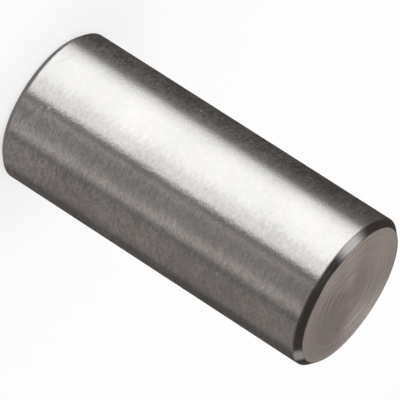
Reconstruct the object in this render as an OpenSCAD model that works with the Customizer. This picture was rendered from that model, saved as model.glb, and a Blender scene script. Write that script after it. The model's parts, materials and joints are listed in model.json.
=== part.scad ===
// Ground steel dowel pin: a parallel shank with a short chamfer at each end.
// The pin stands on its lower end. +Z runs along its axis, and the origin is the
// centre of the lower end face. Sizes are in millimetres.

/* [Pin] */
// Diameter of the ground shank
pin_d = 8; // [4:0.5:25]
// Length over the two end faces
pin_len = 18; // [8:1:100]

/* [Chamfers] */
// Length of each chamfer along the axis
chamfer_len = 0.35; // [0.2:0.05:0.8]
// Angle of each chamfer from the axis
chamfer_deg = 45; // [15:5:60]

/* [Edges] */
// Radius that breaks the edge between the shank and a chamfer
shank_edge_r = 0.1; // [0.05:0.05:0.2]
// Radius that breaks the edge between a chamfer and its end face
face_edge_r = 0.1; // [0.05:0.05:0.15]

/* [Display] */
// Facets in a full turn of the pin
turn_facets = 128; // [48:16:256]
// Facets in a full turn of an edge radius
edge_facets = 32; // [16:8:64]

/* [Hidden] */
steel = [0.62, 0.6, 0.58];

pin_r = pin_d / 2;
face_r = pin_r - chamfer_len * tan(chamfer_deg);

// Unit vector along the lower chamfer, from the end face out to the shank, in
// the half section's own axes: [radius, height].
chamfer_dir = [sin(chamfer_deg), cos(chamfer_deg)];

// The two corners that the lower chamfer would have if they were sharp.
face_corner = [face_r, 0];
shank_corner = [pin_r, chamfer_len];

// Distance from a sharp corner to the point where a rounding arc of radius r
// leaves the outline, where the outline turns by turn_deg.
function setback(r, turn_deg) = r * tan(turn_deg / 2);

face_setback = setback(face_edge_r, 90 - chamfer_deg);
shank_setback = setback(shank_edge_r, chamfer_deg);

// Outline of the lower end from its face out to the shank, with a straight
// chord across each rounded corner.
lower_outline = [
    face_corner - [face_setback, 0],
    face_corner + face_setback * chamfer_dir,
    shank_corner - shank_setback * chamfer_dir,
    shank_corner + [0, shank_setback],
];

// The disc that rounds a corner: it touches the outline at the chord's ends.
module edge_round(centre, r) {
    translate(centre)
        circle(r = r, $fn = edge_facets);
}

// Half section of the pin's lower half, from its end face up to mid length.
module lower_half_section() {
    mid_height = pin_len / 2;
    polygon(concat([[0, 0]], lower_outline, [[pin_r, mid_height], [0, mid_height]]));
    edge_round(face_corner + [-face_setback, face_edge_r], face_edge_r);
    edge_round(shank_corner + [-shank_edge_r, shank_setback], shank_edge_r);
}

// Half section of the whole pin: the lower half and its mirror image above it.
module pin_section() {
    lower_half_section();
    translate([0, pin_len])
        mirror([0, 1])
            lower_half_section();
}

// The pin, turned from its half section.
module dowel_pin() {
    color(steel)
        rotate_extrude($fn = turn_facets)
            pin_section();
}

dowel_pin();
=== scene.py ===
"""The looks of a ground steel dowel pin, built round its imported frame.

The pin stands on its lower end with its axis along +Z. Everything is in metres.
"""

import json
import logging
import math
from dataclasses import dataclass
from enum import Enum
from typing import Any, Mapping, Sequence, Union

import bpy
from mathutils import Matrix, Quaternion, Vector


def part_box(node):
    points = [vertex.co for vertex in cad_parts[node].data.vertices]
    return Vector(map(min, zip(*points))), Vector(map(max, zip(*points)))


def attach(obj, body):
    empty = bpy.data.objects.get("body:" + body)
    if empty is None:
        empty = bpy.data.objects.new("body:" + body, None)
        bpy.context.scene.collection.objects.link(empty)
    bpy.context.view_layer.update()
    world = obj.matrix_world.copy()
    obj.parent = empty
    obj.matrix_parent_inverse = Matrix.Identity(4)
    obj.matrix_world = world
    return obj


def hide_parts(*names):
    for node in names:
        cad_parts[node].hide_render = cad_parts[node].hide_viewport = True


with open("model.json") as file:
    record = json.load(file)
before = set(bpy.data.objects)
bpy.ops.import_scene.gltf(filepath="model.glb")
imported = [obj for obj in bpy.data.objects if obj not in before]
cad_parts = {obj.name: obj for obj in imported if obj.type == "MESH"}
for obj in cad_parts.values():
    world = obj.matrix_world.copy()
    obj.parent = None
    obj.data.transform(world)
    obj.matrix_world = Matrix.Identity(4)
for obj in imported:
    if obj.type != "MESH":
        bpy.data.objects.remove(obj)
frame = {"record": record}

LOG = logging.getLogger("dowel_pin")

MM = 0.001
NODE = "dowel_pin"
BODY = "root"

Colour = tuple[float, float, float]
Number = Union[int, float]

# The tint of grey card in the tent.
WARM = (1.0, 0.935, 0.895)

# The tint of the bright panels.
COOL = (0.985, 0.997, 1.0)

# Points of the pin closer than this are one point. It is far under the spacing of its rings.
MERGE_DISTANCE = 0.0002 * MM

# Added to a squared distance from the axis, so that nothing is divided by 0 on the axis itself.
TINY_AREA = 1e-12

# The Random Value node has sockets of the same name for each type of value.
# These are the places of the ones for plain numbers.
FLOAT_MIN, FLOAT_MAX, FLOAT_RESULT = 2, 3, 1

# The Mix node has such sockets too. These are the places of the ones for colours.
MIX_FACTOR, MIX_FIRST, MIX_SECOND, MIX_RESULT = 0, 6, 7, 2

# Half of a turn, in degrees.
HALF_TURN = 180.0


# ---------------------------------------------------------------------------
# Node graphs
# ---------------------------------------------------------------------------


class Signal:
    """One output socket of a node graph, with Python arithmetic for its values."""

    def __init__(self, graph: "NodeGraph", socket: bpy.types.NodeSocket) -> None:
        """Wraps an output socket of one of a graph's nodes."""
        self.graph = graph
        self.socket = socket

    def _maths(self, operation: str, *values: "Term") -> "Signal":
        """Adds a Math node that works on the values in order, and returns its result."""
        return self.graph.maths(operation, *values)

    def __add__(self, other: "Term") -> "Signal":
        """Self plus other."""
        return self._maths("ADD", self, other)

    def __radd__(self, other: "Term") -> "Signal":
        """Other plus self."""
        return self._maths("ADD", other, self)

    def __sub__(self, other: "Term") -> "Signal":
        """Self minus other."""
        return self._maths("SUBTRACT", self, other)

    def __rsub__(self, other: "Term") -> "Signal":
        """Other minus self."""
        return self._maths("SUBTRACT", other, self)

    def __mul__(self, other: "Term") -> "Signal":
        """Self times other."""
        return self._maths("MULTIPLY", self, other)

    def __rmul__(self, other: "Term") -> "Signal":
        """Other times self."""
        return self._maths("MULTIPLY", other, self)

    def __truediv__(self, other: "Term") -> "Signal":
        """Self over other."""
        return self._maths("DIVIDE", self, other)

    def __lt__(self, other: "Term") -> "Signal":
        """1 where self is less than other, or else 0."""
        return self._maths("LESS_THAN", self, other)


Term = Union[Signal, Number]


class NodeGraph:
    """A shader or geometry node tree that is filled in by code."""

    def __init__(self, tree: bpy.types.NodeTree) -> None:
        """Wraps a tree and empties it."""
        self.tree = tree
        tree.nodes.clear()

    def node(
        self,
        kind: str,
        settings: Mapping[str, Any] | None = None,
        inputs: Mapping[Union[int, str], Any] | None = None,
    ) -> bpy.types.Node:
        """Adds a node.

        Args:
            kind: The node's type, such as "ShaderNodeTexNoise".
            settings: Attributes of the node, set before its sockets.
            inputs: A value, colour or signal for each socket, by name or index.

        Returns:
            The new node.
        """
        made = self.tree.nodes.new(kind)
        for name, value in (settings or {}).items():
            setattr(made, name, value)
        for name, value in (inputs or {}).items():
            self.feed(made.inputs[name], value)
        return made

    def feed(self, socket: bpy.types.NodeSocket, value: Any) -> None:
        """Links a signal to an input socket, or sets the socket's own value.

        Args:
            socket: The input socket.
            value: A signal, or a value that the socket can hold.
        """
        if isinstance(value, Signal):
            self.tree.links.new(value.socket, socket)
        else:
            socket.default_value = value

    def out(self, node: bpy.types.Node, name: Union[int, str] = 0) -> Signal:
        """An output of a node, as a signal."""
        return Signal(self, node.outputs[name])

    def maths(self, operation: str, *values: Term) -> Signal:
        """Adds a Math node, such as an "ADD" of two values, and returns its result."""
        made = self.node("ShaderNodeMath", {"operation": operation}, dict(enumerate(values)))
        return self.out(made)

    def vector(self, x: Term, y: Term, z: Term) -> Signal:
        """Joins three values into a vector."""
        return self.out(self.node("ShaderNodeCombineXYZ", inputs={0: x, 1: y, 2: z}))

    def split(self, vector: Signal) -> tuple[Signal, Signal, Signal]:
        """The X, Y and Z of a vector, as three signals."""
        made = self.node("ShaderNodeSeparateXYZ", inputs={0: vector})
        return self.out(made, 0), self.out(made, 1), self.out(made, 2)

    def ramp(
        self, value: Term, start: Number, end: Number, low: Number = 0.0, high: Number = 1.0
    ) -> Signal:
        """Eases from one level to another while a value goes from start to end.

        Args:
            value: The value that drives the change.
            start: The value at which the result leaves the low level.
            end: The value at which it reaches the high level.
            low: The result at start and before it.
            high: The result at end and past it.

        Returns:
            The eased result.
        """
        made = self.node(
            "ShaderNodeMapRange",
            {"interpolation_type": "SMOOTHSTEP"},
            {"Value": value, "From Min": start, "From Max": end, "To Min": low, "To Max": high},
        )
        return self.out(made)


class ShaderGraph(NodeGraph):
    """A shader node tree."""

    def noise(self, where: Signal, detail: float) -> Signal:
        """Smooth noise from 0 to 1 with features about one unit apart.

        Args:
            where: The position to read it at.
            detail: How many finer octaves are added.

        Returns:
            The noise's value.
        """
        made = self.node(
            "ShaderNodeTexNoise",
            {"noise_dimensions": "3D"},
            {"Vector": where, "Scale": 1.0, "Detail": detail, "Roughness": 0.5},
        )
        return self.out(made, "Fac")

    def mix_colours(self, factor: Term, first: Any, second: Any) -> Signal:
        """Mixes two colours.

        Args:
            factor: 0 for the first colour, 1 for the second.
            first: A colour or a signal.
            second: A colour or a signal.

        Returns:
            The mixed colour.
        """
        made = self.node(
            "ShaderNodeMix",
            {"data_type": "RGBA"},
            {MIX_FACTOR: factor, MIX_FIRST: first, MIX_SECOND: second},
        )
        return self.out(made, MIX_RESULT)

    def scaled(self, colour: Signal, factor: Term) -> Signal:
        """A colour times a number."""
        made = self.node("ShaderNodeVectorMath", {"operation": "SCALE"}, {0: colour, "Scale": factor})
        return self.out(made)


def rgba(colour: Colour) -> tuple[float, float, float, float]:
    """A colour with full opacity."""
    return (*colour, 1.0)


def new_material(name: str) -> tuple[bpy.types.Material, ShaderGraph]:
    """Makes an empty node material.

    Args:
        name: The material's name.

    Returns:
        The material, and the graph to fill in.
    """
    material = bpy.data.materials.new(name)
    material.use_nodes = True
    return material, ShaderGraph(material.node_tree)


# ---------------------------------------------------------------------------
# Finishes
# ---------------------------------------------------------------------------


@dataclass(frozen=True)
class Marks:
    """A kind of marks that run round the pin's axis, as noise that is drawn out round it.

    The first number is how many marks lie side by side in a millimetre. The
    second is how many follow each other in about a sixth of a turn, and 0
    gives whole rings. Detail is how many octaves of finer marks are added.
    """

    per_mm: float
    per_arc: float
    detail: float = 0.0


@dataclass(frozen=True)
class PinPoint:
    """A shaded point of the pin, as signals of its material's graph.

    Across is the point's place, in millimetres, on a path that runs across
    the marks: it climbs the shank, and then goes inwards over the chamfer and
    the end face. The angle is the azimuth in radians, 0 towards -Y and growing
    towards +X.
    """

    graph: ShaderGraph
    x: Signal
    y: Signal
    z: Signal
    around_x: Signal
    around_y: Signal
    from_axis: Signal
    inwards: Signal
    across: Signal
    angle: Signal

    @classmethod
    def read(cls, graph: ShaderGraph, radius: float, length: float) -> "PinPoint":
        """Works the point out from its object coordinates.

        Args:
            graph: The material's graph.
            radius: The pin's radius.
            length: The pin's length.

        Returns:
            The point.
        """
        x, y, z = graph.split(graph.out(graph.node("ShaderNodeTexCoord"), "Object"))
        from_axis = graph.maths("SQRT", x * x + y * y + TINY_AREA)
        inwards = radius - from_axis
        # 1 on the upper half of the pin, and -1 on the lower half.
        outward = 1.0 - 2.0 * (z < length / 2)
        return cls(
            graph=graph,
            x=x,
            y=y,
            z=z,
            around_x=x / from_axis,
            around_y=y / from_axis,
            from_axis=from_axis,
            inwards=inwards,
            across=(z + outward * inwards) / MM,
            angle=graph.maths("ARCTAN2", x, 0.0 - y),
        )

    def marks(self, kind: Marks) -> Signal:
        """How high a kind of marks stands at the point, from 0 to 1.

        Args:
            kind: The kind of marks.

        Returns:
            The height, which is 0.5 on average.
        """
        where = self.graph.vector(
            self.around_x * kind.per_arc, self.around_y * kind.per_arc, self.across * kind.per_mm
        )
        return self.graph.noise(where, kind.detail)

    def facing(self) -> Signal:
        """1 on the sides that face +Y and -Y, falling smoothly to 0 between them."""
        squared = self.around_y * self.around_y
        return squared * squared


@dataclass(frozen=True)
class SheenPatch:
    """A faint round patch of painted reflection on the end faces, with soft edges. Dark patches paint shade
    and light ones paint highlights where the turned face's sheen would fall.

    The azimuth is in degrees, and the offset is the distance of its centre from the axis.
    """

    azimuth: float
    offset: float
    reach: float
    strength: float
    colour: Colour

    def mask(self, point: PinPoint) -> Signal:
        """How strong the painted patch is at a point.

        Args:
            point: The point.

        Returns:
            0 outside the patch, growing to its strength at its centre.
        """
        turn = math.radians(self.azimuth)
        aside = point.x - math.sin(turn) * self.offset
        along = point.y + math.cos(turn) * self.offset
        away = point.graph.maths("SQRT", aside * aside + along * along)
        return point.graph.ramp(away, 0.0, self.reach, self.strength, 0.0)


@dataclass(frozen=True)
class Rub:
    """A stripe along the shank where the ground marks show more, with soft sides.

    The azimuth and the reach are in degrees, and the core is the share of the
    reach that has the stripe's full strength. Dulling makes the marks scatter
    more light, and grime makes the metal between them darker.
    """

    azimuth: float
    reach: float
    dulling: float = 0.0
    grime: float = 0.0
    core: float = 0.2

    def mask(self, point: PinPoint) -> Signal:
        """How far a point is inside the stripe.

        Args:
            point: The point.

        Returns:
            0 outside the stripe, growing to 1 at its core.
        """
        away = point.graph.maths("ABSOLUTE", point.angle - math.radians(self.azimuth))
        reach = math.radians(self.reach)
        return point.graph.ramp(away, self.core * reach, reach, 1.0, 0.0)


@dataclass(frozen=True)
class Nick:
    """A small oval scar on the shank, where the steel scatters light.

    The azimuth and the tilt are in degrees. The tilt is the scar's turn from
    the ground marks, and the core is the share of it that has its full depth.
    """

    azimuth: float
    height: float
    length: float
    width: float
    depth: float
    tilt: float = 0.0
    core: float = 0.4

    def mask(self, point: PinPoint, radius: float) -> Signal:
        """How strong the scar is at a point.

        Args:
            point: The point.
            radius: The shank's radius.

        Returns:
            0 outside the scar, growing to its depth at its core.
        """
        around = (point.angle - math.radians(self.azimuth)) * radius
        above = point.z - self.height
        turn = math.radians(self.tilt)
        along = (around * math.cos(turn) + above * math.sin(turn)) / (self.length / 2)
        over = (above * math.cos(turn) - around * math.sin(turn)) / (self.width / 2)
        away = point.graph.maths("SQRT", along * along + over * over)
        return point.graph.ramp(away, self.core, 1.0, self.depth, 0.0)


@dataclass(frozen=True)
class FaceFinish:
    """The turned finish of the end faces, and of the chamfers' fine rings.

    The rings are one feed apart, and their phase wanders by a few radians.
    The lines are broken rings that lighten and darken the face's colour: partly real turned marks and partly
    painted glints. Both show most on the sides that face +Y and -Y, where the face's sheen would light them
    up, so there they are painted sheen, and by a smaller share everywhere.
    Over the calm span from the axis outwards they grow from the calm
    contrast to their full one.
    """

    bright: Colour = (0.740, 0.640, 0.592)
    dull: Colour = (0.575, 0.485, 0.450)
    feed: float = 0.32 * MM
    wander: float = 4.0
    wander_marks: Marks = Marks(per_mm=1.5, per_arc=1.5)
    ring_grain: Marks = Marks(per_mm=7.0, per_arc=0.0)
    ring_height: float = 0.5
    ring_contrast: float = 0.28
    rings_everywhere: float = 0.10
    lines: Marks = Marks(per_mm=6.0, per_arc=0.9, detail=1.0)
    line_contrast: float = 1.15
    lines_everywhere: float = 0.25
    calm_span: tuple[float, float] = (0.3 * MM, 1.9 * MM)
    calm_contrast: float = 0.35
    # Painted reflection: dark patches paint shade and light ones paint highlights, as the face's sheen shows
    # them.
    sheen_patches: tuple[SheenPatch, ...] = (
        SheenPatch(azimuth=88.0, offset=1.8 * MM, reach=3.2 * MM, strength=0.85, colour=(0.410, 0.335, 0.322)),
        SheenPatch(azimuth=-85.0, offset=1.0 * MM, reach=1.6 * MM, strength=0.60, colour=(0.430, 0.350, 0.335)),
        SheenPatch(azimuth=178.0, offset=3.3 * MM, reach=2.6 * MM, strength=0.75, colour=(0.930, 0.820, 0.755)),
        SheenPatch(azimuth=0.0, offset=3.6 * MM, reach=1.2 * MM, strength=0.50, colour=(0.860, 0.750, 0.690)),
    )

    def rings(self, point: PinPoint) -> Signal:
        """Height of the turned rings at a point.

        Args:
            point: The point.

        Returns:
            The height, which is 0.5 on average.
        """
        phase = point.across * (math.tau * MM / self.feed) + point.marks(self.wander_marks) * self.wander
        swing = point.graph.maths("SINE", phase) * self.ring_height + point.marks(self.ring_grain) - 0.5
        # Through the face's colour, the clearer rings on the sides that face +Y and -Y are painted sheen.
        return 0.5 + swing * self._contrast(point, self.rings_everywhere) * self.ring_contrast

    def colour(self, point: PinPoint, wear: Signal) -> Signal:
        """Colour of an end face.

        Args:
            point: The point.
            wear: How high the marks stand at the point, from 0 to 1.

        Returns:
            The colour.
        """
        graph = point.graph
        face = graph.mix_colours(wear, rgba(self.dull), rgba(self.bright))
        # Painted highlights and painted shade of the face's sheen, patch over patch.
        for sheen_patch in self.sheen_patches:
            face = graph.mix_colours(sheen_patch.mask(point), face, rgba(sheen_patch.colour))
        # The lines lighten and darken the colour: partly real turned marks, partly painted glints, clearest
        # on the sides that face +Y and -Y.
        swing = point.marks(self.lines) - 0.5
        lighter = 1.0 + swing * self._contrast(point, self.lines_everywhere) * self.line_contrast
        return graph.scaled(face, lighter)

    def _contrast(self, point: PinPoint, everywhere: float) -> Signal:
        """How clear rings or lines are at a point. Everywhere is their share on all sides."""
        calm = point.graph.ramp(point.from_axis, *self.calm_span, self.calm_contrast, 1.0)
        # Painted sheen: rings and lines show most on the sides that face +Y and -Y.
        return (point.facing() + everywhere) * calm


@dataclass(frozen=True)
class ShankFinish:
    """The ground finish of the shank.

    The shares say how much each kind of marks adds to the whole. The steel
    is cooler or warmer over the tint span of its marks, and grime shows over
    the grime span of its own, where they are low. Patches are slow
    changes in tone, and their dulling is how much duller the lighter ones
    are. The end dulling is for the lower and the upper end of the pin.
    """

    cool: Colour = (0.575, 0.565, 0.553)
    warm: Colour = (0.592, 0.572, 0.560)
    grimy: Colour = (0.450, 0.440, 0.432)
    short_marks: Marks = Marks(per_mm=12.0, per_arc=21.0, detail=1.0)
    long_marks: Marks = Marks(per_mm=10.0, per_arc=7.0)
    cloudy_marks: Marks = Marks(per_mm=1.4, per_arc=5.0, detail=2.0)
    short_share: float = 0.60
    long_share: float = 0.25
    cloudy_share: float = 0.15
    tint_marks: Marks = Marks(per_mm=0.9, per_arc=3.5, detail=1.0)
    tint_span: tuple[float, float] = (0.38, 0.62)
    patch_marks: Marks = Marks(per_mm=0.35, per_arc=1.2, detail=1.0)
    patch_contrast: float = 0.25
    patch_dulling: float = 4.0
    end_dulling: tuple[float, float] = (1.22, 0.74)
    grime_marks: Marks = Marks(per_mm=5.5, per_arc=9.0, detail=2.0)
    grime_share: float = 0.6
    grime_span: tuple[float, float] = (0.60, 0.38)
    rubs: tuple[Rub, ...] = (
        Rub(azimuth=-5.5, reach=15.0, grime=0.46),
        Rub(azimuth=-62.0, reach=17.0, dulling=0.28),
    )
    nicks: tuple[Nick, ...] = (
        Nick(azimuth=-33.0, height=0.90 * MM, length=1.90 * MM, width=0.28 * MM, depth=0.26, tilt=-19.0),
        Nick(azimuth=-36.0, height=0.62 * MM, length=1.30 * MM, width=0.16 * MM, depth=0.22, tilt=-16.0),
        Nick(azimuth=4.0, height=1.75 * MM, length=0.24 * MM, width=0.18 * MM, depth=0.42),
        Nick(azimuth=6.0, height=1.40 * MM, length=0.18 * MM, width=0.14 * MM, depth=0.32),
        Nick(azimuth=5.7, height=10.20 * MM, length=0.10 * MM, width=0.10 * MM, depth=0.25),
        Nick(azimuth=-60.5, height=7.50 * MM, length=0.26 * MM, width=0.14 * MM, depth=0.22),
        Nick(azimuth=24.0, height=10.10 * MM, length=0.80 * MM, width=0.10 * MM, depth=0.16),
        Nick(azimuth=28.0, height=13.20 * MM, length=0.26 * MM, width=0.18 * MM, depth=0.16),
        Nick(azimuth=39.0, height=13.00 * MM, length=0.22 * MM, width=0.16 * MM, depth=0.14),
        Nick(azimuth=-63.5, height=13.80 * MM, length=0.80 * MM, width=0.10 * MM, depth=0.16, tilt=80.0),
        Nick(azimuth=-48.6, height=14.80 * MM, length=0.24 * MM, width=0.10 * MM, depth=0.18),
    )

    def marks(self, point: PinPoint, short: Signal) -> Signal:
        """Height of all the ground marks at a point, from the height of the short ones there."""
        drawn_out = point.marks(self.long_marks) * self.long_share
        return short * self.short_share + drawn_out + point.marks(self.cloudy_marks) * self.cloudy_share

    def patches(self, point: PinPoint) -> Signal:
        """How much lighter than usual the steel is at a point, as a share that is 0 on average."""
        return (point.marks(self.patch_marks) - 0.5) * self.patch_contrast

    def colour(self, point: PinPoint, short: Signal, patches: Signal) -> Signal:
        """Colour of the shank.

        Args:
            point: The point.
            short: Height of the short marks there.
            patches: How much lighter than usual the steel is there.

        Returns:
            The colour.
        """
        graph = point.graph
        tint = graph.ramp(point.marks(self.tint_marks), *self.tint_span)
        grime: Term = 0.0
        for rub in self.rubs:
            grime = grime + rub.mask(point) * rub.grime
        in_marks = point.marks(self.grime_marks) * self.grime_share + short * (1.0 - self.grime_share)
        grime = grime * graph.ramp(in_marks, *self.grime_span)
        steel = graph.mix_colours(tint, rgba(self.cool), rgba(self.warm))
        return graph.scaled(graph.mix_colours(grime, steel, rgba(self.grimy)), 1.0 + patches)

    def dulling(self, point: PinPoint, patches: Signal, length: float) -> Signal:
        """How much more light than usual the marks scatter at a point, as a factor.

        Args:
            point: The point.
            patches: How much lighter than usual the steel is there.
            length: The pin's length.

        Returns:
            The factor, which is about 1 on average.
        """
        dulling: Term = 1.0
        for rub in self.rubs:
            dulling = dulling + rub.mask(point) * rub.dulling
        along = point.graph.ramp(point.z, 0.0, length, *self.end_dulling)
        return dulling * (1.0 + patches * self.patch_dulling) * along


@dataclass(frozen=True)
class GroundSteel:
    """Bare steel for the whole pin: a ground shank, and turned chamfers and end faces.

    The chamfer's and the face's spans say where their finish sets in, in
    chamfer widths from the shank, and the wear span is the part of the
    marks' height that shows. High marks are smoother and low marks rougher
    by the swing. The anisotropy stretches reflections along the axis, and
    along_axis is the part of a turn that points them that way. Haze is the
    share of the surface that scatters light as matt paint does. A chamfer
    keeps only the given parts of the shank's haze and relief.
    """

    radius: float
    length: float
    chamfer: float
    shank: ShankFinish = ShankFinish()
    face: FaceFinish = FaceFinish()
    chamfer_span: tuple[float, float] = (0.05, 0.25)
    face_span: tuple[float, float] = (0.90, 1.05)
    wear_span: tuple[float, float] = (0.34, 0.66)
    roughness: float = 0.34
    chamfer_roughness: float = 0.12
    face_roughness: float = 0.34
    roughness_swing: float = 0.04
    anisotropy: float = 0.92
    along_axis: float = 0.25
    haze: float = 0.102
    chamfer_haze: float = 0.10
    face_haze: float = 0.18
    mark_depth: float = 0.0023 * MM
    chamfer_relief: float = 0.25

    def material(self) -> bpy.types.Material:
        """Builds the material.

        Returns:
            The material for the pin's whole surface.
        """
        material, graph = new_material("ground_steel")
        point = PinPoint.read(graph, self.radius, self.length)
        on_chamfer = self._past(point, self.chamfer_span)
        on_face = self._past(point, self.face_span)

        short = point.marks(self.shank.short_marks)
        ground = self.shank.marks(point, short)
        wear = graph.ramp(ground + (self.face.rings(point) - ground) * on_chamfer, *self.wear_span)
        patches = self.shank.patches(point)
        shank_colour = self.shank.colour(point, short, patches)
        steel = graph.mix_colours(on_face, shank_colour, self.face.colour(point, wear))

        hazy = self.haze * (1.0 - (1.0 - self.chamfer_haze) * on_chamfer)
        scattered = wear * self.shank.dulling(point, patches, self.length) * hazy + on_face * self.face_haze
        for nick in self.shank.nicks:
            scattered = scattered + nick.mask(point, self.radius)
        height = wear * (1.0 - (1.0 - self.chamfer_relief) * on_chamfer)
        relief = graph.node(
            "ShaderNodeBump", inputs={"Strength": 1.0, "Distance": self.mark_depth, "Height": height}
        )
        shader = graph.node(
            "ShaderNodeBsdfPrincipled",
            inputs={
                "Base Color": steel,
                "Metallic": 1.0 - scattered,
                "Roughness": self._roughness(wear, on_chamfer, on_face),
                "Anisotropic": self.anisotropy,
                "Anisotropic Rotation": self.along_axis,
                "Normal": graph.out(relief),
            },
        )
        graph.node("ShaderNodeOutputMaterial", inputs={"Surface": graph.out(shader)})
        return material

    def _past(self, point: PinPoint, span: tuple[float, float]) -> Signal:
        """0 to 1 while a point goes inwards over a span, which is in chamfer widths from the shank."""
        start, end = span
        return point.graph.ramp(point.inwards, start * self.chamfer, end * self.chamfer)

    def _roughness(self, wear: Signal, on_chamfer: Signal, on_face: Signal) -> Signal:
        """Roughness of the steel.

        Args:
            wear: How high the marks stand, from 0 to 1.
            on_chamfer: 1 past the shank's edge, and 0 on the shank.
            on_face: 1 on an end face, and 0 elsewhere.

        Returns:
            The roughness.
        """
        level = self.roughness + (self.chamfer_roughness - self.roughness) * on_chamfer
        level = level + (self.face_roughness - self.chamfer_roughness) * on_face
        return level + (0.5 - wear) * (2.0 * self.roughness_swing)


@dataclass(frozen=True)
class MattPaper:
    """White matt paper with a soft oval pool of light on it.

    The pool is fully lit out to its reach along X and Y, and it has faded
    out at its edge, which is in reaches. The grain is how much darker the
    paper is between its fibres. The glow is the share of its brightness that
    shadows don't reach.
    """

    name: str
    lit: Colour
    unlit: Colour
    pool_centre: tuple[float, float]
    pool_reach: tuple[float, float]
    pool_edge: float = 1.8
    fibres_per_metre: float = 900.0
    fibre_detail: float = 3.0
    grain: float = 0.01
    glow: float = 0.6

    def material(self) -> bpy.types.Material:
        """Builds the material.

        Returns:
            The paper's material.
        """
        material, graph = new_material(self.name)
        x, y, z = graph.split(graph.out(graph.node("ShaderNodeTexCoord"), "Object"))
        where = graph.vector(
            x * self.fibres_per_metre, y * self.fibres_per_metre, z * self.fibres_per_metre
        )
        fibre = graph.noise(where, self.fibre_detail)
        aside = (x - self.pool_centre[0]) / self.pool_reach[0]
        along = (y - self.pool_centre[1]) / self.pool_reach[1]
        away = graph.maths("SQRT", aside * aside + along * along)
        paper = graph.mix_colours(graph.ramp(away, 1.0, self.pool_edge), rgba(self.lit), rgba(self.unlit))
        colour = graph.mix_colours(fibre, graph.scaled(paper, 1.0 - self.grain), paper)
        shader = graph.node(
            "ShaderNodeBsdfPrincipled",
            inputs={"Base Color": colour, "Roughness": 1.0, "Specular IOR Level": 0.0},
        )
        glow = graph.node("ShaderNodeEmission", inputs={"Color": colour, "Strength": 1.0})
        mixed = graph.node(
            "ShaderNodeMixShader", inputs={0: self.glow, 1: graph.out(shader), 2: graph.out(glow)}
        )
        graph.node("ShaderNodeOutputMaterial", inputs={"Surface": graph.out(mixed)})
        return material


# ---------------------------------------------------------------------------
# The pin
# ---------------------------------------------------------------------------


class GeometryGraph(NodeGraph):
    """A geometry node tree with named inputs, and the mesh that it makes."""

    def __init__(self, name: str) -> None:
        """Makes an empty tree.

        Args:
            name: The tree's name.
        """
        super().__init__(bpy.data.node_groups.new(name, "GeometryNodeTree"))
        self.tree.interface.new_socket("Geometry", in_out="OUTPUT", socket_type="NodeSocketGeometry")
        self.entry = self.node("NodeGroupInput")
        self.index = self.out(self.node("GeometryNodeInputIndex"))
        self.values: dict[str, Any] = {}

    def parameter(self, name: str, kind: str, value: Any) -> Signal:
        """Adds a named input to the tree.

        Args:
            name: The input's name.
            kind: The socket's type, such as "NodeSocketFloat".
            value: What the modifier sets it to.

        Returns:
            The input's value inside the tree.
        """
        socket = self.tree.interface.new_socket(name, in_out="INPUT", socket_type=kind)
        self.values[socket.identifier] = value
        return self.out(self.entry, name)

    def by_index(self, values: Sequence[Term]) -> Signal:
        """A value for each point, picked by the point's index.

        Args:
            values: The value of point 0, point 1 and so on.

        Returns:
            The picked value.
        """
        made = self.node("GeometryNodeIndexSwitch", {"data_type": "FLOAT"}, {0: self.index})
        while len(made.index_switch_items) < len(values):
            made.index_switch_items.new()
        for place, value in enumerate(values, start=1):
            self.feed(made.inputs[place], value)
        return self.out(made)

    def geometry(self, kind: str, inputs: Mapping[Union[int, str], Any], **settings: Any) -> Signal:
        """Adds a node that makes or changes geometry, and returns its first output."""
        return self.out(self.node(kind, settings, inputs))

    def mesh_object(self, name: str) -> bpy.types.Object:
        """Runs the tree once and keeps its mesh.

        Args:
            name: The name of the object and its mesh.

        Returns:
            An object with the plain mesh and no modifier.
        """
        made = bpy.data.objects.new(name, bpy.data.meshes.new(f"{name}_start"))
        bpy.context.scene.collection.objects.link(made)
        modifier = made.modifiers.new(self.tree.name, "NODES")
        modifier.node_group = self.tree
        for identifier, value in self.values.items():
            modifier[identifier] = value
        depsgraph = bpy.context.evaluated_depsgraph_get()
        mesh = bpy.data.meshes.new_from_object(made.evaluated_get(depsgraph), depsgraph=depsgraph)
        made.modifiers.remove(modifier)
        mesh.name = name
        made.data = mesh
        return made


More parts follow.
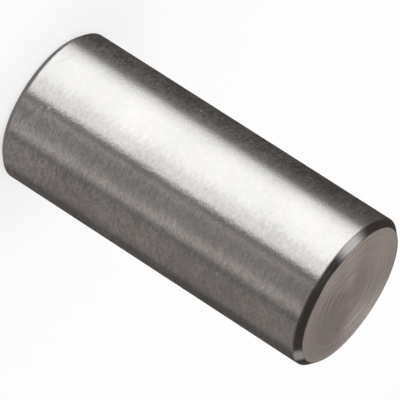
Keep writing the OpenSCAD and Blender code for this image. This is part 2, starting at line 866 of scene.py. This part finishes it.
@dataclass
class TurnedPin:
    """The pin: one half section, swept round the axis.

    The radius and the length come from the frame. The section's corners are
    rounded as on the frame's solid, and the end faces have rings of facing
    marks that only go into the metal. The pitches are the distances between
    the mesh's points along the section.
    """

    radius: float
    length: float
    chamfer: float = 0.35 * MM
    edge_radius: float = 0.1 * MM
    corner_points: int = 6
    turn_points: int = 256
    face_pitch: float = 0.14 * MM
    shank_pitch: float = 0.25 * MM
    mark_depth: float = 0.002 * MM
    seed: int = 7

    @classmethod
    def from_frame(cls, node: str) -> "TurnedPin":
        """Reads the pin's radius from its shank mount, and its length from a frame node's box.

        Args:
            node: The frame node.

        Returns:
            The pin.
        """
        shank = next(mount for mount in frame["record"]["mounts"] if mount["name"] == "shank")
        low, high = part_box(node)
        return cls(radius=shank["dims"]["r_mm"] * MM, length=high[2] - low[2])

    def build(self, finish: GroundSteel) -> bpy.types.Object:
        """Makes the pin and dresses it.

        Args:
            finish: The steel finish of the whole pin.

        Returns:
            The pin's object, which rides on the root body.
        """
        pin = self._sweep(finish.material()).mesh_object("steel_pin")
        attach(pin, BODY)
        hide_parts(NODE)
        return pin

    def _sweep(self, steel: bpy.types.Material) -> GeometryGraph:
        """Builds the tree that draws the half section and sweeps it round the axis.

        Args:
            steel: The material that the tree sets.

        Returns:
            The tree.
        """
        graph = GeometryGraph("turned_pin")
        radius = graph.parameter("Radius", "NodeSocketFloat", self.radius)
        length = graph.parameter("Length", "NodeSocketFloat", self.length)
        chamfer = graph.parameter("Chamfer", "NodeSocketFloat", self.chamfer)
        edge = graph.parameter("Edge Radius", "NodeSocketFloat", self.edge_radius)
        corner_points = graph.parameter("Corner Points", "NodeSocketInt", self.corner_points)
        turn_points = graph.parameter("Turn Points", "NodeSocketInt", self.turn_points)
        face_pitch = graph.parameter("Face Pitch", "NodeSocketFloat", self.face_pitch)
        shank_pitch = graph.parameter("Shank Pitch", "NodeSocketFloat", self.shank_pitch)
        mark_depth = graph.parameter("Mark Depth", "NodeSocketFloat", self.mark_depth)
        seed = graph.parameter("Seed", "NodeSocketInt", self.seed)

        section = self._section(graph, radius, length, chamfer, edge, corner_points)
        section = self._divide(graph, section, face_pitch, shank_pitch)
        section = self._face_marks(graph, section, radius, length, chamfer, edge, mark_depth, seed)

        path = graph.geometry(
            "GeometryNodeCurvePrimitiveCircle", {"Resolution": turn_points, "Radius": radius}
        )
        swept = graph.geometry("GeometryNodeCurveToMesh", {"Curve": path, "Profile Curve": section})
        closed = graph.geometry("GeometryNodeMergeByDistance", {0: swept, "Distance": MERGE_DISTANCE})
        smooth = graph.geometry("GeometryNodeSetShadeSmooth", {0: closed})
        real = graph.geometry("GeometryNodeRealizeInstances", {0: smooth})
        dressed = graph.geometry("GeometryNodeSetMaterial", {0: real, "Material": steel})
        graph.node("NodeGroupOutput", inputs={0: dressed})
        return graph

    def _section(
        self,
        graph: GeometryGraph,
        radius: Signal,
        length: Signal,
        chamfer: Signal,
        edge: Signal,
        corner_points: Signal,
    ) -> Signal:
        """Draws the half section, from the upper centre to the lower one.

        The section lies in the plane that the sweep expects: X is the distance
        out from the shank's surface, and Y is the height, counted downwards.

        Args:
            graph: The tree.
            radius: The pin's radius.
            length: The pin's length.
            chamfer: The chamfer's length and depth.
            edge: The radius of each rounded corner.
            corner_points: Points on each rounded corner.

        Returns:
            The section's curve.
        """
        face_radius = radius - chamfer
        reaches = [0.0, face_radius, radius, radius, face_radius, 0.0]
        heights = [length, length, length - chamfer, chamfer, 0.0, 0.0]
        corner = graph.vector(graph.by_index(reaches) - radius, 0.0 - graph.by_index(heights), 0.0)
        corners = graph.geometry("GeometryNodePoints", {"Count": len(reaches), "Position": corner})
        outline = graph.geometry("GeometryNodePointsToCurves", {"Points": corners})
        rounding = graph.by_index([0.0, edge, edge, edge, edge, 0.0])
        return graph.geometry(
            "GeometryNodeFilletCurve",
            {"Curve": outline, "Count": corner_points, "Radius": rounding},
            mode="POLY",
        )

    def _divide(
        self, graph: GeometryGraph, section: Signal, face_pitch: Signal, shank_pitch: Signal
    ) -> Signal:
        """Adds points along the section.

        Args:
            graph: The tree.
            section: The section's curve.
            face_pitch: The distance between points across an end face.
            shank_pitch: The distance between points along the shank.

        Returns:
            The divided curve.
        """
        here = graph.out(graph.node("GeometryNodeInputPosition"))
        ahead = graph.geometry(
            "GeometryNodeFieldAtIndex",
            {"Value": here, "Index": graph.index + 1},
            data_type="FLOAT_VECTOR",
            domain="POINT",
        )
        step = graph.geometry("ShaderNodeVectorMath", {0: ahead, 1: here}, operation="SUBTRACT")
        out_step, down_step, _ = graph.split(step)
        cuts = graph.maths("FLOOR", graph.maths("ABSOLUTE", out_step) / face_pitch)
        cuts = cuts + graph.maths("FLOOR", graph.maths("ABSOLUTE", down_step) / shank_pitch)
        return graph.geometry("GeometryNodeSubdivideCurve", {"Curve": section, "Cuts": cuts})

    def _face_marks(
        self,
        graph: GeometryGraph,
        section: Signal,
        radius: Signal,
        length: Signal,
        chamfer: Signal,
        edge: Signal,
        depth: Signal,
        seed: Signal,
    ) -> Signal:
        """Sinks the points of both end faces by a random part of a depth.

        Args:
            graph: The tree.
            section: The section's curve.
            radius: The pin's radius.
            length: The pin's length.
            chamfer: The chamfer's length and depth.
            edge: The radius of the rounded corner at the face's rim.
            depth: How deep the marks go at most.
            seed: The seed of the random depths.

        Returns:
            The section's curve with the marks.
        """
        out, down, _ = graph.split(graph.out(graph.node("GeometryNodeInputPosition")))
        rim = radius - chamfer - edge
        on_face = (out + radius) < rim
        height = 0.0 - down
        inwards = 1.0 - 2.0 * (height < length / 2)
        random_depth = graph.node(
            "FunctionNodeRandomValue",
            {"data_type": "FLOAT"},
            {FLOAT_MIN: 0.0, FLOAT_MAX: depth, "ID": graph.index, "Seed": seed},
        )
        sunk = graph.out(random_depth, FLOAT_RESULT) * inwards
        return graph.geometry(
            "GeometryNodeSetPosition",
            {"Geometry": section, "Selection": on_face, "Offset": graph.vector(0.0, sunk, 0.0)},
        )


# ---------------------------------------------------------------------------
# The studio
# ---------------------------------------------------------------------------


class SeenBy(Enum):
    """Which rays a stage piece is there for."""

    EYE = "camera"
    METAL = "glossy"


def show_to(piece: bpy.types.Object, viewer: SeenBy) -> None:
    """Hides a stage piece from every kind of ray but one.

    Args:
        piece: The stage piece.
        viewer: What still sees it.
    """
    piece.visible_camera = viewer is SeenBy.EYE
    piece.visible_glossy = viewer is SeenBy.METAL
    piece.visible_diffuse = False
    piece.visible_transmission = False
    piece.visible_volume_scatter = False
    piece.visible_shadow = False


@dataclass(frozen=True)
class Span:
    """A span of angles with soft ends, in degrees. Each end fades over twice the softness."""

    middle: float
    half: float
    softness: float = 8.0

    def mask(self, graph: ShaderGraph, angle: Signal) -> Signal:
        """How far an angle is inside the span.

        Args:
            graph: The material's graph.
            angle: The angle, in degrees.

        Returns:
            1 inside the span, falling to 0 over its soft ends.
        """
        aside = graph.maths("WRAP", angle - self.middle, HALF_TURN, -HALF_TURN)
        away = graph.maths("ABSOLUTE", aside)
        return graph.ramp(away, self.half - self.softness, self.half + self.softness, 1.0, 0.0)


@dataclass(frozen=True)
class Panel:
    """A soft panel of the light tent, as seen from the pin.

    Azimuth 0 is towards -Y, where the camera stands, and it grows towards +X.
    """

    azimuth: Span
    elevation: Span
    level: float
    tint: Colour = (1.0, 1.0, 1.0)

    def colour(self) -> tuple[float, float, float, float]:
        """The light that the panel gives off."""
        red, green, blue = self.tint
        return rgba((self.level * red, self.level * green, self.level * blue))


@dataclass
class LightTent:
    """A round tent of soft panels that only the metal reflects. A later panel covers an earlier one."""

    centre: Vector
    panels: Sequence[Panel]
    radius: float = 0.4
    surround: Colour = (0.056, 0.048, 0.043)
    segments: int = 48
    rings: int = 24

    def build(self) -> bpy.types.Object:
        """Makes the tent as a ball that is lit from its own inner face.

        Returns:
            The tent.
        """
        bpy.ops.mesh.primitive_uv_sphere_add(
            segments=self.segments, ring_count=self.rings, radius=self.radius, location=self.centre
        )
        tent = bpy.context.object
        tent.name = "light_tent"
        tent.data.materials.append(self._material())
        show_to(tent, SeenBy.METAL)
        return tent

    def _material(self) -> bpy.types.Material:
        """Builds the tent's light, panel over panel.

        Returns:
            The material.
        """
        material, graph = new_material("tent_light")
        x, y, z = graph.split(graph.out(graph.node("ShaderNodeTexCoord"), "Object"))
        flat = graph.maths("SQRT", x * x + y * y)
        azimuth = graph.maths("DEGREES", graph.maths("ARCTAN2", x, 0.0 - y))
        elevation = graph.maths("DEGREES", graph.maths("ARCTAN2", z, flat))
        light: Any = rgba(self.surround)
        for panel in self.panels:
            inside = panel.azimuth.mask(graph, azimuth) * panel.elevation.mask(graph, elevation)
            light = graph.mix_colours(inside, light, panel.colour())
        glow = graph.node("ShaderNodeEmission", inputs={"Color": light, "Strength": 1.0})
        graph.node("ShaderNodeOutputMaterial", inputs={"Surface": graph.out(glow)})
        material.cycles.emission_sampling = "NONE"
        return material


@dataclass
class Floor:
    """A pale table top under the pin."""

    height: float
    half_size: float = 2.0
    paper: MattPaper = MattPaper(
        name="pale_floor",
        lit=(1.0, 1.0, 1.0),
        unlit=(0.74, 0.74, 0.74),
        pool_centre=(0.0, 22 * MM),
        pool_reach=(15 * MM, 42 * MM),
    )

    def build(self) -> bpy.types.Object:
        """Makes the floor.

        Returns:
            The floor.
        """
        bpy.ops.mesh.primitive_plane_add(size=2 * self.half_size, location=(0.0, 0.0, self.height))
        floor = bpy.context.object
        floor.name = "floor"
        floor.data.materials.append(self.paper.material())
        show_to(floor, SeenBy.EYE)
        return floor


@dataclass(frozen=True)
class WhiteRoom:
    """An even white room that looks a little greyer than it is.

    Light is what comes from every direction, where 1 is white. Backdrop is
    how bright the room looks to the camera and to what is shiny or clear.
    """

    light: float = 1.0
    backdrop: float = 0.74

    def build(self) -> bpy.types.World:
        """Makes the room and gives it to the scene.

        Returns:
            The world.
        """
        world = bpy.data.worlds.new("white_room")
        world.use_nodes = True
        graph = ShaderGraph(world.node_tree)
        ray = graph.node("ShaderNodeLightPath")
        seen = graph.out(ray, "Is Camera Ray")
        for kind in ("Is Glossy Ray", "Is Transmission Ray"):
            seen = graph.maths("MAXIMUM", seen, graph.out(ray, kind))
        level = seen * (self.backdrop - self.light) + self.light
        room = graph.node(
            "ShaderNodeBackground", inputs={"Color": rgba((1.0, 1.0, 1.0)), "Strength": level}
        )
        graph.node("ShaderNodeOutputWorld", inputs={"Surface": graph.out(room)})
        world.cycles.sampling_method = "NONE"
        bpy.context.scene.world = world
        return world


@dataclass(frozen=True)
class StudioCamera:
    """A camera that looks down on the pin and is rolled, so that the pin lies across the view.

    Angles are in degrees. The lens and the sensor are in millimetres. The
    offset moves the pin right and up in the view, in pixels. The clip range
    is in distances to the target.
    """

    target: Vector
    distance: float
    azimuth: float = 0.0
    elevation: float = 21.0
    roll: float = 122.8
    lens: float = 489.0
    sensor: float = 36.0
    view_width: int = 400
    offset_pixels: tuple[float, float] = (-1.2, 2.3)
    clip_range: tuple[float, float] = (0.1, 20.0)

    def build(self) -> bpy.types.Object:
        """Makes the camera and gives it to the scene.

        Returns:
            The camera.
        """
        turn, rise = math.radians(self.azimuth), math.radians(self.elevation)
        back = Vector(
            (math.sin(turn) * math.cos(rise), -math.cos(turn) * math.cos(rise), math.sin(rise))
        )
        level = (-back).to_track_quat("-Z", "Y")
        rolled = level @ Quaternion((0.0, 0.0, 1.0), math.radians(self.roll))
        pixel = self.distance * self.sensor / self.lens / self.view_width
        right, up = self.offset_pixels
        aside = rolled @ Vector((-right * pixel, -up * pixel, 0.0))
        data = bpy.data.cameras.new("camera")
        data.lens = self.lens
        data.sensor_width = self.sensor
        data.clip_start, data.clip_end = (self.distance * share for share in self.clip_range)
        camera = bpy.data.objects.new("camera", data)
        camera.rotation_mode = "QUATERNION"
        camera.rotation_quaternion = rolled
        camera.location = self.target + back * self.distance + aside
        bpy.context.scene.collection.objects.link(camera)
        bpy.context.scene.camera = camera
        return camera


ALL_ROUND = Span(middle=0.0, half=200.0)
BRIGHT_WALL = Span(middle=-30.0, half=60.0)
GREY_WALL = Span(middle=-40.0, half=58.0)

PANELS = (
    # Dark ground, all round and low.
    Panel(azimuth=ALL_ROUND, elevation=Span(-50.0, 48.0), level=0.068, tint=(1.0, 0.86, 0.78)),
    # Dark card beside the bright wall, for one edge of the shank.
    Panel(azimuth=Span(-100.0, 14.0, 12.0), elevation=Span(-30.0, 50.0), level=0.175, tint=(1.0, 0.90, 0.84)),
    # The bright wall, brightest in its middle, for the band along the shank.
    Panel(azimuth=Span(-48.0, 42.0, 6.0), elevation=BRIGHT_WALL, level=1.46, tint=COOL),
    Panel(azimuth=Span(-45.0, 31.5, 12.0), elevation=BRIGHT_WALL, level=1.88, tint=COOL),
    Panel(azimuth=Span(-8.0, 12.0, 3.0), elevation=BRIGHT_WALL, level=1.47, tint=(1.0, 0.99, 0.975)),
    # Grey card with darker and lighter stripes, for the other side of the shank.
    Panel(azimuth=Span(34.0, 31.0, 1.5), elevation=GREY_WALL, level=0.30, tint=WARM),
    Panel(azimuth=Span(8.5, 4.5, 1.0), elevation=GREY_WALL, level=0.03),
    Panel(azimuth=Span(16.5, 3.5, 2.0), elevation=GREY_WALL, level=0.50, tint=WARM),
    Panel(azimuth=Span(57.5, 9.0, 7.0), elevation=GREY_WALL, level=0.61, tint=WARM),
    Panel(azimuth=Span(94.0, 32.0, 2.0), elevation=GREY_WALL, level=0.26, tint=(1.0, 0.905, 0.86)),
    Panel(azimuth=Span(69.0, 4.0, 1.0), elevation=GREY_WALL, level=0.08),
    # Two lights for the upper chamfer.
    Panel(azimuth=Span(-82.5, 25.5, 15.0), elevation=Span(53.0, 10.5), level=0.86),
    Panel(azimuth=Span(142.0, 9.0, 4.0), elevation=Span(15.0, 9.0, 4.0), level=0.38),
    # Grey card behind the pin: a high one for the end face, and a low one for the lower chamfer.
    Panel(azimuth=Span(180.0, 22.0), elevation=Span(34.0, 18.0), level=0.335),
    Panel(azimuth=Span(180.0, 24.0, 4.0), elevation=Span(-48.0, 20.0, 6.0), level=0.25),
    # The tent's top and bottom.
    Panel(azimuth=ALL_ROUND, elevation=Span(90.0, 9.0, 2.5), level=0.75),
    Panel(azimuth=ALL_ROUND, elevation=Span(-90.0, 28.0, 5.0), level=0.25),
)

# How far away the camera stands, in radii of the pin.
CAMERA_RADII = 64

# How far under the pin's lower end the floor lies.
FLOOR_GAP = 0.01 * MM


def main() -> None:
    """Builds the pin and its studio."""
    logging.basicConfig(level=logging.INFO, format="%(name)s: %(message)s")
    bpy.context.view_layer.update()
    bpy.context.scene.view_settings.view_transform = "Standard"

    pin = TurnedPin.from_frame(NODE)
    piece = pin.build(GroundSteel(radius=pin.radius, length=pin.length, chamfer=pin.chamfer))
    LOG.info("%s: %d faces", piece.name, len(piece.data.polygons))

    middle = Vector((0.0, 0.0, pin.length / 2))
    studio = (
        WhiteRoom(),
        Floor(height=-FLOOR_GAP),
        LightTent(centre=middle, panels=PANELS),
        StudioCamera(target=middle, distance=CAMERA_RADII * pin.radius),
    )
    for part in studio:
        LOG.info("%s: built", part.build().name)


if __name__ == "__main__":
    main()
